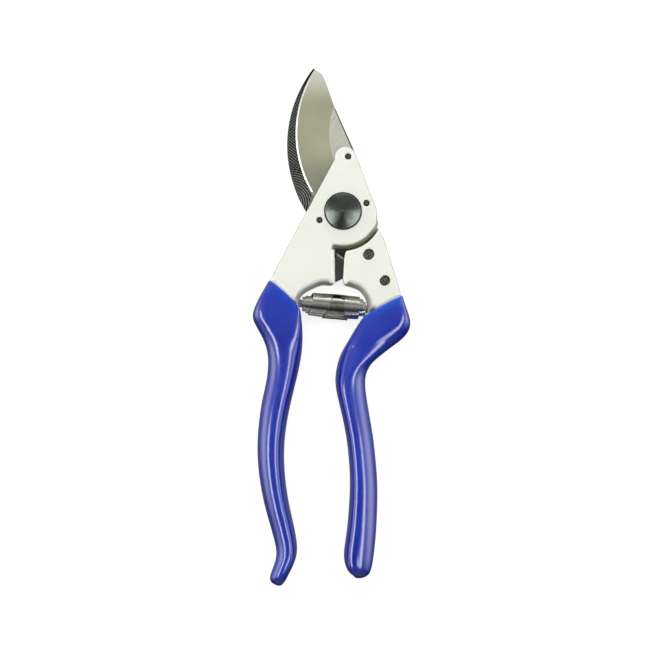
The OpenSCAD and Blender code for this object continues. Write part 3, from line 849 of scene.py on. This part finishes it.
def blade_top(points):
    """Height of the blade's upper face: hollow-ground bevel, then flat under the plate."""
    radius = np.linalg.norm(points - EDGE_CENTRE, axis=1)
    under = smoothstep(0.6, 1.6, past(points, PLATE_EDGE)) * band(points[:, 1], 23.5, 25.5)
    ground = np.clip((EDGE_R - MICRO - radius) / (EDGE_R - MICRO - BEVEL_R), 0, 1)
    hollow = HOLLOW * ground * (1 - ground) * 4
    micro = np.clip((EDGE_R - radius) / MICRO, 0, 1)
    full = BLADE_HIGH - BLADE_LOW
    height = np.where(radius > EDGE_R - MICRO, LAND - MICRO_DROP * (1 - micro),
                      LAND + (full - LAND) * ground - hollow)
    return BLADE_LOW + height + (full - height) * under


def blade_outline():
    """Inner and outer radius of the blade about its edge's centre, for a fan of angles."""
    round_hub = np.radians(np.arange(-18, -186, -3))
    hub = HUB_R * np.column_stack([np.cos(round_hub), np.sin(round_hub)])
    right = [[4.6, 24.4], [6.8, 17.2], [10.1, 7.9], [12.7, 1.3], [12.9, -2.0]]
    heel = [[-14.4, 1.6], [-13, 5.2], [-12.6, 7.7]]
    back = np.concatenate([along(SPINE, 6)[::-1], right, hub, heel])
    angles = np.radians(np.concatenate([
        np.linspace(TIP_ANGLE, 150, 24), np.linspace(150.3, NOTCH_ANGLE, 220),
        np.linspace(NOTCH_ANGLE + 0.1, HEEL_ANGLE, 90)]))
    rows = []
    for a in angles:
        hits = ray_hits((math.cos(a), math.sin(a)), back)
        if len(hits):
            far = EDGE_R if a <= math.radians(NOTCH_ANGLE) else hits[-1]
            if far - hits[0] > LEAST_WIDTH:
                rows.append((a, hits[0], far))
    return rows


# Columns of points across the fine edge, the bevel and the flat, and in mm the spine's chamfer
# and how far its last column drops outside and under the front plate, which ends at this y.
EDGE_COLUMNS, BEVEL_COLUMNS, FLAT_COLUMNS = 4, 34, 24
SPINE_CHAMFER = 0.5
SPINE_DROP, HIDDEN_DROP = 0.4, 0.1
PLATE_FROM_Y = 24
BLADE_SMOOTH_ANGLE = 12


def cutting_blade():
    """The blade as a fan of rows from its edge to its back, over a flat underside."""
    rows = blade_outline()
    across = []
    for a, near, far in rows:
        seam = max(BEVEL_R, near + LEAST_WIDTH) if far > BEVEL_R else (near + far) / 2
        micro = MICRO * smoothstep(147, 156, math.degrees(a)) + 0.05
        outer = far - micro if far - micro > seam else seam + 0.6 * (far - seam)
        edge = np.append(np.linspace(far, outer + 0.02, EDGE_COLUMNS), outer)
        bevel = np.linspace(outer, seam, BEVEL_COLUMNS)[1:]
        chamfer = min(SPINE_CHAMFER, 0.4 * (seam - near))
        flat = np.linspace(seam, near + 1.3 * chamfer, FLAT_COLUMNS)[1:]
        across.append(np.concatenate([edge, bevel, flat, [near + chamfer, near]]))
    across = np.array(across)
    angles = np.array([r[0] for r in rows])
    count = across.shape[1]
    direction = np.column_stack([np.cos(angles), np.sin(angles)])
    flat = (EDGE_CENTRE + across[:, :, None] * direction[:, None, :]).reshape(-1, 2)
    n, y = len(flat), flat[:, 1]
    column, outside = np.arange(n) % count, y > PLATE_FROM_Y
    drop = np.where(outside, SPINE_DROP, HIDDEN_DROP) * (column == count - 1)
    points = np.concatenate([np.column_stack([flat, blade_top(flat) - drop]),
                             np.column_stack([flat, np.full(n, BLADE_LOW)])])
    faces = [f[::-1] for f in ring_faces(len(rows), count, closed=False)]
    faces += [tuple(i + n for i in f[::-1]) for f in faces]
    grid = np.arange(n).reshape(-1, count)
    rim = np.concatenate([grid[:-1, 0], grid[-1, :-1], grid[:0:-1, -1], grid[0, :0:-1]]).tolist()
    faces += [(a, b, b + n, a + n) for a, b in zip(rim, rim[1:] + rim[:1])]
    obj = make_mesh("blade", points, faces, BLADE_SMOOTH_ANGLE)
    radius = np.linalg.norm(flat - EDGE_CENTRE, axis=1)
    ray = np.repeat(np.degrees(angles), count)
    sharp = (column < EDGE_COLUMNS) & (ray <= NOTCH_ANGLE)
    # Mask of the painted highlight on the fine edge, fainter higher up.
    edge = sharp * smoothstep(148.5, 153, ray) * (1 - 0.45 * smoothstep(30, 46, y))
    # Mask of the painted shade on the spine, outside the plate and between these heights.
    spine = ((column >= count - 2) & outside) * band(y, 42, 47)
    # The root mask places painted shade near the plate; the tip is lighter.
    looks = (("tip", smoothstep(42, 57, y), 0), ("root", band(y, 13, 26), 0), ("edge", edge, 0),
             ("flat", radius < BEVEL_R + 0.05, 1), ("spine", spine, 0))
    for name, above, below in looks:
        add_value(obj, name, np.concatenate([above, np.full(n, below)]))
    fit_out(obj, "blade_side", "ground_steel", "cutting_blade")


# In mm: the grooves' centre, pitches and depth, the grid's step, and how far from the pivot the
# castings begin to hide the hook and its tang.
GROOVE_CENTRE = np.array([-21.5, 3.4])
GROOVE_PITCH = 0.95
GROOVE_DEPTH = 0.2
SLANT, SLANT_PITCH = (0.6, 0.8), 0.92
CROSS, CROSS_PITCH = (0.75, -0.66), 1.1
HOOK_STEP = 0.19
HOOK_ROUNDING = 0.22
HOOK_SMOOTH_ANGLE = 50
BOLT_HOLE_R = 4.2
TANG_HIDDEN_R = 15.2
TANG_FLOOR_Y = -15.9


def groove_height(flat):
    """0 in a groove, 1 on a ridge: arcs near the root that turn into fine diagonals."""
    away = np.linalg.norm(flat - GROOVE_CENTRE, axis=1)
    turns = (away / GROOVE_PITCH, flat @ SLANT / SLANT_PITCH, flat @ CROSS / CROSS_PITCH)
    arcs, slant, other = (0.5 + 0.5 * np.cos(2 * math.pi * t) for t in turns)
    upper = smoothstep(14.0, 20.0, flat[:, 1])
    return arcs * (1 - upper) + (0.7 * slant + 0.3 * other) * upper


def on_jaw(flat):
    """1 on the hook's ground jaw, 0 on its hub, its tang and the last stretch to its tip."""
    away = np.linalg.norm(flat, axis=1)
    return smoothstep(12.8, 14.0, away) * band(flat[:, 1], 47, 54) * (flat[:, 1] > HUB_ENDS_Y)


def hook():
    """The counter blade with its grooved jaw; what the castings hide stops short inside them."""
    outline = section("hook_blade", (HOOK_LOW + HOOK_HIGH) / 2)
    outline = without(outline, circles("hook_rivets", Z_TOP - 1) + [(np.zeros(2), BOLT_HOLE_R)])

    def plan(flat):
        x, y = flat.T
        away = np.hypot(x, y)
        at_hub = np.where(x > 0, away - HIDDEN_HUB_R, -5)
        hidden = np.where(y < HUB_ENDS_Y, away - TANG_HIDDEN_R, at_hub)
        ground = on_jaw(flat)
        edge = signed(flat, outline)
        depth = GROOVE_DEPTH * (1 - 0.6 * smoothstep(22.0, 48.0, y))
        sunk = depth * ground * (1 - groove_height(flat)) * smoothstep(0.1, 0.5, -edge)
        return [np.maximum(edge, hidden), sunk]

    def solid(columns, z):
        edge, sunk = columns
        return np.maximum(slab(edge, z, HOOK_LOW, HOOK_HIGH, HOOK_ROUNDING), z - (HOOK_HIGH - sunk))

    low, high = box_mm("hook_blade")
    start = [low[0] - 0.6, TANG_FLOOR_Y, low[2] - 0.5]
    points, faces = net(plan, solid, start, high + 0.5, HOOK_STEP)
    obj = make_mesh("hook", points, faces, HOOK_SMOOTH_ANGLE)
    # Where the painted highlight goes: the ridges' crests on the jaw's top face.
    ridge = groove_height(points[:, :2]) ** 4 * on_jaw(points[:, :2])
    ridge *= points[:, 2] > HOOK_HIGH - 0.1
    add_value(obj, "ridge", np.clip(ridge, 0, 1))
    fit_out(obj, "hook_side", "black_oxide_steel", "hook_blade")


# ------------ pins, rivets and the pivot

PIN_SIDES = 48


def flush_pins(name, node, body):
    """Round pins of one CAD node, level with the casting, each with a raised ring on top."""
    low, high = (corner[2] for corner in box_mm(node))
    for i, (centre, radius) in enumerate(circles(node, (low + high) / 2)):
        wall, rim = radius - 0.05, radius - 0.3
        profile = [(0, low + 0.1), (rim, low + 0.12), (wall, low + 0.3), (wall, high - 0.55),
                   (rim, high - 0.3), (radius * 0.7, high - 0.1), (radius * 0.5, high - 0.16),
                   (0, high - 0.14)]
        pin = lathe(f"{name}_{i + 1}", profile, centre, PIN_SIDES)
        fit_out(pin, body, "dark_steel", node, material=PIN_METAL)


DOME_RINGS = 9
DOME_SIDES = 128
STEPS_PER_RING = 8
# In mm: the hidden shank's radius, the height of the head's rim over the washer, how deep the
# turned rings are, and the depth, radius and final height of the centre mark.
SHANK_R = 4.0
RIM_HEIGHT = 0.95
RING_DEPTH = 0.01
MARK_DEPTH, MARK_R, MARK_BELOW_TOP = 0.1, 0.35, 0.1
DOME_POWER = 1.75


def pivot_head():
    """The bolt's domed head: a shallow turned cone with faint steps and a centre mark."""
    low, high = box_mm("pivot_bolt")
    radius = (high[0] - low[0]) / 2
    base = box_mm("pivot_washer")[1][2]
    top = high[2]
    profile = [(0, base - 0.5), (SHANK_R, base - 0.5), (SHANK_R, base - 0.02),
               (radius - 0.25, base), (radius, base + 0.22), (radius, base + 0.62),
               (radius - 0.12, base + 0.86)]
    steps = DOME_RINGS * STEPS_PER_RING
    crown = base + RIM_HEIGHT
    for i in range(1, steps):
        share = 1 - i / steps
        r = (radius - 0.3) * share
        curve = (top - crown) * (1 - share ** DOME_POWER)
        turned = RING_DEPTH * math.sin(2 * math.pi * DOME_RINGS * share)
        mark = -MARK_DEPTH * math.exp(-(r / MARK_R) ** 2)
        profile.append((r, crown + curve + turned + mark))
    profile.append((0, top - MARK_BELOW_TOP))
    dome = lathe("pivot_dome", profile, (0, 0), DOME_SIDES)
    fit_out(dome, "hook_side", "black_oxide_steel", "pivot_bolt", material=DOME_METAL)


THREAD_R = 3.9
THREAD_DEPTH = 0.08
THREAD_TURNS = 7
THREAD_SIDES = 64
END_CHAMFER = 0.35


def bolt_end():
    """The bolt's threaded end: chamfered, and level with the nut's flat face."""
    profile = [(0, 0.0), (3.3, 0.0), (3.75, END_CHAMFER)]
    steps = THREAD_TURNS * 4
    for i in range(steps):
        z = END_CHAMFER + (Z_BACK - 0.4) * (i + 1) / steps
        profile.append((THREAD_R + THREAD_DEPTH * math.cos(math.pi * i / 2), z))
    profile += [(THREAD_R, Z_BACK + 1), (0, Z_BACK + 1)]
    fit_out(lathe("bolt_end", profile, (0, 0), THREAD_SIDES), "hook_side", "dark_steel")


def rounded_block(name, outline, low, high, rounding, step=0.12):
    """A small block over an outline in mm, with rounded rims."""
    outline = np.array(outline, float)
    segments = np.stack([outline, np.roll(outline, -1, 0)], 1)
    corners = [*(outline.min(0) - 0.5), low - 0.5], [*(outline.max(0) + 0.5), high + 0.5]
    return make_mesh(name, *net(lambda flat: [signed(flat, segments)],
                                lambda columns, z: slab(columns[0], z, low, high, rounding),
                                *corners, step))


# Outlines in mm, then the clip's two upper corners and its run downwards.
BUMPER = [[-3.26, -17.6], [0.75, -20.4], [0.6, -24.0], [0.15, -27.3], [-3.07, -28.9]]
# A black sheet above the bumper that stands in for the deep shade there.
SHADE_SHEET_OUTLINE = [[-3.1, -15.2], [2.2, -15.2], [1.2, -20.5], [-2.9, -18.2]]
CLIP_START, CLIP_END = np.array([-2.5, -17.0]), np.array([0.3, -19.0])
CLIP_DOWN = np.array([-0.05, -1.5])
CLIP_RIBS = 3
RIB_SHARE = 0.8


def bumper_parts():
    """The rubber between the handles, a black sheet above it that stands in for shade, and the
    ribbed steel clip at its top.
    """
    low, top = (corner[2] for corner in box_mm("stop_bumper"))
    body = rounded_block("bumper", BUMPER, low, top, 0.3, 0.2)
    fit_out(body, "hook_side", "black_rubber", "stop_bumper")
    # Painted shade: a black rubber sheet where there is only shade above the bumper.
    shade_sheet = rounded_block("bumper_shade_sheet", SHADE_SHEET_OUTLINE, HOOK_HIGH + 0.6, top - 3.2, 0.2, 0.2)
    fit_out(shade_sheet, "hook_side", "black_rubber")
    for i in range(CLIP_RIBS):
        a, b = CLIP_DOWN * i / CLIP_RIBS, CLIP_DOWN * (i + RIB_SHARE) / CLIP_RIBS
        outline = [CLIP_START + a, CLIP_END + a, CLIP_END + b, CLIP_START + b]
        rib = rounded_block(f"bumper_clip_{i + 1}", outline, top - 1.2, top + 0.1 - 0.15 * i, 0.12)
        fit_out(rib, "hook_side", "dark_steel", material=CLIP_METAL)


# ------------ spring

# In mm: half the spring's length between its studs, and the strip's thickness and chamfer. At
# turn 0, on the side towards the handles' ends, the strip's edges stand up over a short turn.
SPRING_TILT = math.radians(-5)
STRIP_T = 0.34
STRIP_CHAMFER = 0.1
STRIP_SMOOTH_ANGLE = 30
CORNER_LIFT = 0.5
CORNER_TURN = 0.03
TURN_STEPS = 14
# Turn, left and right edge along the axis, outer radius and cone slope of the strip. The wide
# middle winding lies outside, and each end winds in under it.
WINDINGS = np.array([
    [-3.3, 11.2, 13.1, 2.6, 0.00], [-2.5, 10.9, 12.9, 2.8, 0.00], [-1.8, 10.0, 12.4, 3.3, 0.00],
    [-1.5, 9.0, 11.6, 3.9, 0.02], [-1.25, 7.5, 10.9, 4.3, 0.04], [-1.0, 5.0, 10.3, 4.5, 0.06],
    [-0.75, 3.4, 10.4, 4.63, 0.05], [-0.5, 3.95, 10.2, 4.88, 0.03], [-0.25, 0.55, 8.8, 4.95, 0.04],
    [0.0, -4.3, 5.5, 5.22, 0.00], [0.25, -1.8, 4.4, 5.25, 0.00], [0.5, -1.5, 3.9, 5.05, 0.00],
    [0.75, -6.6, 0.45, 5.1, -0.02], [1.0, -10.2, -3.0, 4.62, -0.05],
    [1.25, -9.0, -0.8, 4.63, -0.05], [1.5, -9.0, -1.55, 4.9, -0.02],
    [1.75, -10.6, -6.0, 4.2, -0.03], [2.0, -11.3, -8.6, 3.8, -0.02],
    [2.25, -11.2, -8.4, 3.6, 0.00], [2.5, -11.6, -9.4, 3.4, 0.00],
    [3.0, -12.6, -10.6, 3.1, 0.00], [3.5, -13.1, -11.4, 2.8, 0.00]])


def spring_rings():
    """The turn at each step along the strip, and its section there as axial places and radii."""
    path = along(WINDINGS, TURN_STEPS)
    turn, left, right, radius, slope = path.T[:, :, None]
    side = np.repeat([-1, 1], 4)
    cut_in = np.array([1, 0, 0, 1] * 2)
    lower = np.array([STRIP_T, STRIP_T - STRIP_CHAMFER, STRIP_CHAMFER, 0])
    x = side * ((right - left) / 2 - STRIP_CHAMFER * cut_in)
    lift = CORNER_LIFT * np.maximum(0, 1 - np.abs(turn) / CORNER_TURN) * (1 - cut_in)
    return path[:, 0], (left + right) / 2 + x, radius - slope * x - [*lower, *lower[::-1]] + lift


def spring_strip():
    """A strip wound into a double cone, whose windings slide apart as the handles open.
    """
    turns, axial, radius = spring_rings()
    angle = 2 * math.pi * turns[:, None]
    count = axial.shape[1]
    local = np.stack([axial, -radius * np.cos(angle), radius * np.sin(angle)], -1)
    ca, sa = math.cos(SPRING_TILT), math.sin(SPRING_TILT)
    tilt = np.array([[ca, sa, 0], [-sa, ca, 0], [0, 0, 1]])
    points = [*SPRING_CENTRE, Z_MID] + local.reshape(-1, 3) @ tilt
    faces = ring_faces(len(turns), count)
    faces.append(list(range(count))[::-1])
    faces.append([(len(turns) - 1) * count + j for j in range(count)])
    obj = make_mesh("volute_strip", points, faces, STRIP_SMOOTH_ANGLE)
    obj.data.materials.append(MATERIALS["spring_steel"])
    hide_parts("volute_spring")
    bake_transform(obj)
    # Where the painted shade goes on the strip: its wide middle winding.
    in_middle = smoothstep(-0.45, -0.15, turns) * band(turns, 0.6, 0.85)
    add_value(obj, "middle", np.repeat(in_middle, count))
    return obj


# ------------ CAD nodes that stay

# Node, slot and bevel in mm.
KEPT_NODES = (
    ("pivot_washer", "black_oxide_steel", 0.12), ("pivot_nut", "black_oxide_steel", 0.12),
    ("nut_lock_plate", "zinc_steel", 0.12), ("lock_plate_screw", "dark_steel", 0.15),
    ("spring_stud_left", "zinc_steel", 0.2), ("spring_stud_right", "zinc_steel", 0.2),
    ("pivot_bush", "zinc_steel", 0.1), ("thumb_catch", "zinc_steel", 0.15),
    ("thumb_pad", "black_plastic", 0.1), ("catch_screw", "dark_steel", 0.15),
    ("catch_washer", "zinc_steel", 0.04), ("catch_pin", "zinc_steel", 0.15))


def kept_node(node, slot, bevel_mm):
    """A CAD node keeps its shape and gets softened edges and its own material."""
    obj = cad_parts[node]
    obj.data.materials.clear()
    obj.data.materials.append(MATERIALS[slot])
    weld = obj.modifiers.new("weld", "WELD")
    weld.merge_threshold = 0.00001
    bevel = obj.modifiers.new("bevel", "BEVEL")
    bevel.width = bevel_mm * MM
    bevel.segments = 2
    bevel.limit_method = "ANGLE"
    bevel.angle_limit = math.radians(35)
    bevel.harden_normals = True


# ------------ stage, light and camera

VIEW_CENTRE = Vector((-0.0083, -0.0452, 0))
VIEW_WIDTH = 0.2622
LENS = 300
SENSOR = 36
# The floor in mm; it lies a little low, so that no part's underside flickers through it.
FLOOR_HALF = 3000
FLOOR_Z = -0.05
LAMP_DISTANCE = 1.0


def stage():
    """A pale floor that neither lights the shears nor shows in their reflections."""
    corners = [(-1, -1), (1, -1), (1, 1), (-1, 1)]
    points = [(FLOOR_HALF * x, FLOOR_HALF * y, FLOOR_Z) for x, y in corners]
    floor = make_mesh("floor", points, [(0, 1, 2, 3)])
    floor.data.materials.append(white_floor())
    floor.visible_diffuse = False
    floor.visible_glossy = False


def strip_light(name, lean, size, radiance, y, mirrored):
    """A long soft light that leans off the vertical, only mirrored or only lighting matt parts."""
    data = bpy.data.lights.new(name, "AREA")
    data.shape = "RECTANGLE"
    data.size, data.size_y = size
    data.energy = radiance * math.pi * size[0] * size[1]
    lamp = bpy.data.objects.new(name, data)
    lean = math.radians(lean)
    lamp.location = (VIEW_CENTRE.x + LAMP_DISTANCE * math.sin(lean), VIEW_CENTRE.y + y,
                     LAMP_DISTANCE * math.cos(lean))
    lamp.rotation_euler = (0, lean, 0)
    lamp.visible_diffuse = not mirrored
    lamp.visible_glossy = mirrored
    bpy.context.scene.collection.objects.link(lamp)
    return lamp


# Strength of the surroundings for directions from -1 to 1.
GLOW_ALONG_Y = ((-1.0, 0.5), (-0.97, 0.28), (-0.8, 0.24), (-0.6, 0.02), (-0.3, 0.06), (0.0, 0.18),
                (0.25, 0.32), (0.6, 0.20), (0.82, 0.5), (0.96, 2.1))
GLOW_SIDEWAYS = ((-1.0, 0.0), (0.74, 0.0), (0.9, 0.8), (1.0, 2.8))


def studio_world():
    """Dim overhead, bright low down at both sides and behind, as in a small photo tent."""
    n = Nodes(bpy.data.worlds.new("studio"))
    bpy.context.scene.world = n.owner
    direction = n.new("ShaderNodeTexCoord").outputs["Generated"]
    parts = n.new("ShaderNodeSeparateXYZ", {0: direction}).outputs
    sideways, levels = n.math("ABSOLUTE", parts["X"]), []
    for source, stops in ((parts["Y"], GLOW_ALONG_Y), (sideways, GLOW_SIDEWAYS)):
        ramp = n.new("ShaderNodeValToRGB", {"Fac": n.remap(source, -1, 1, 0, 1)})
        ramp.color_ramp.interpolation = "EASE"
        while len(ramp.color_ramp.elements) < len(stops):
            ramp.color_ramp.elements.new(0.5)
        for element, (place, level) in zip(ramp.color_ramp.elements, stops):
            element.position = (place + 1) / 2
            element.color = (level, level, level, 1)
        levels.append(ramp.outputs["Color"])
    background = n.tree.nodes["Background"].inputs
    n.put(background["Color"], (1, 1, 1))
    n.put(background["Strength"], n.math("ADD", *levels))


# Name, lean in degrees, size and radiance, shift along y, and whether it is only mirrored.
LAMPS = (
    ("left_strip", -20, (0.44, 0.60), 5.6, 0.26, False),
    ("right_strip", 20, (0.44, 0.60), 5.3, 0.26, False),
    ("left_glint", -43, (0.30, 0.95), 9.5, -0.42, True),
    ("right_glint", 43, (0.30, 0.95), 8.0, -0.42, True),
    ("low_glint", 23, (0.28, 0.30), 6.5, -0.60, True))


def light():
    """The surroundings and the lamps; gives back those that are only mirrored."""
    studio_world()
    return [lamp for lamp in [strip_light(*row) for row in LAMPS] if lamp.visible_glossy]


def spare_from(lamps, obj):
    """Keeps these lamps off a piece, because polished steel would mirror them as bare white."""
    spared = bpy.data.collections.new("spared")
    spared.objects.link(obj)
    spared.collection_objects[0].light_linking.link_state = "EXCLUDE"
    for lamp in lamps:
        lamp.light_linking.receiver_collection = spared


def camera():
    data = bpy.data.cameras.new("camera")
    data.lens, data.sensor_width = LENS, SENSOR
    cam = bpy.data.objects.new("camera", data)
    distance = VIEW_WIDTH * LENS / SENSOR
    cam.location = VIEW_CENTRE + Vector((0, 0, distance + Z_MID * MM))
    bpy.context.scene.collection.objects.link(cam)
    bpy.context.scene.camera = cam
    bpy.context.scene.view_settings.view_transform = "Standard"


# ------------ build

camera()
stage()
glints = light()
castings()
grip("grip_left", "blade_handle_grip", "blade_side", LEFT_GRIP, 0.9, 0.45, 0.5)
grip("grip_right", "hook_handle_grip", "hook_side", RIGHT_GRIP, 0.3, 1.0, 1.5)
cutting_blade()
hook()
flush_pins("blade_pin", "blade_pins", "blade_side")
flush_pins("hook_rivet", "hook_rivets", "hook_side")
pivot_head()
bolt_end()
spare_from(glints, spring_strip())
bumper_parts()
for kept in KEPT_NODES:
    kept_node(*kept)
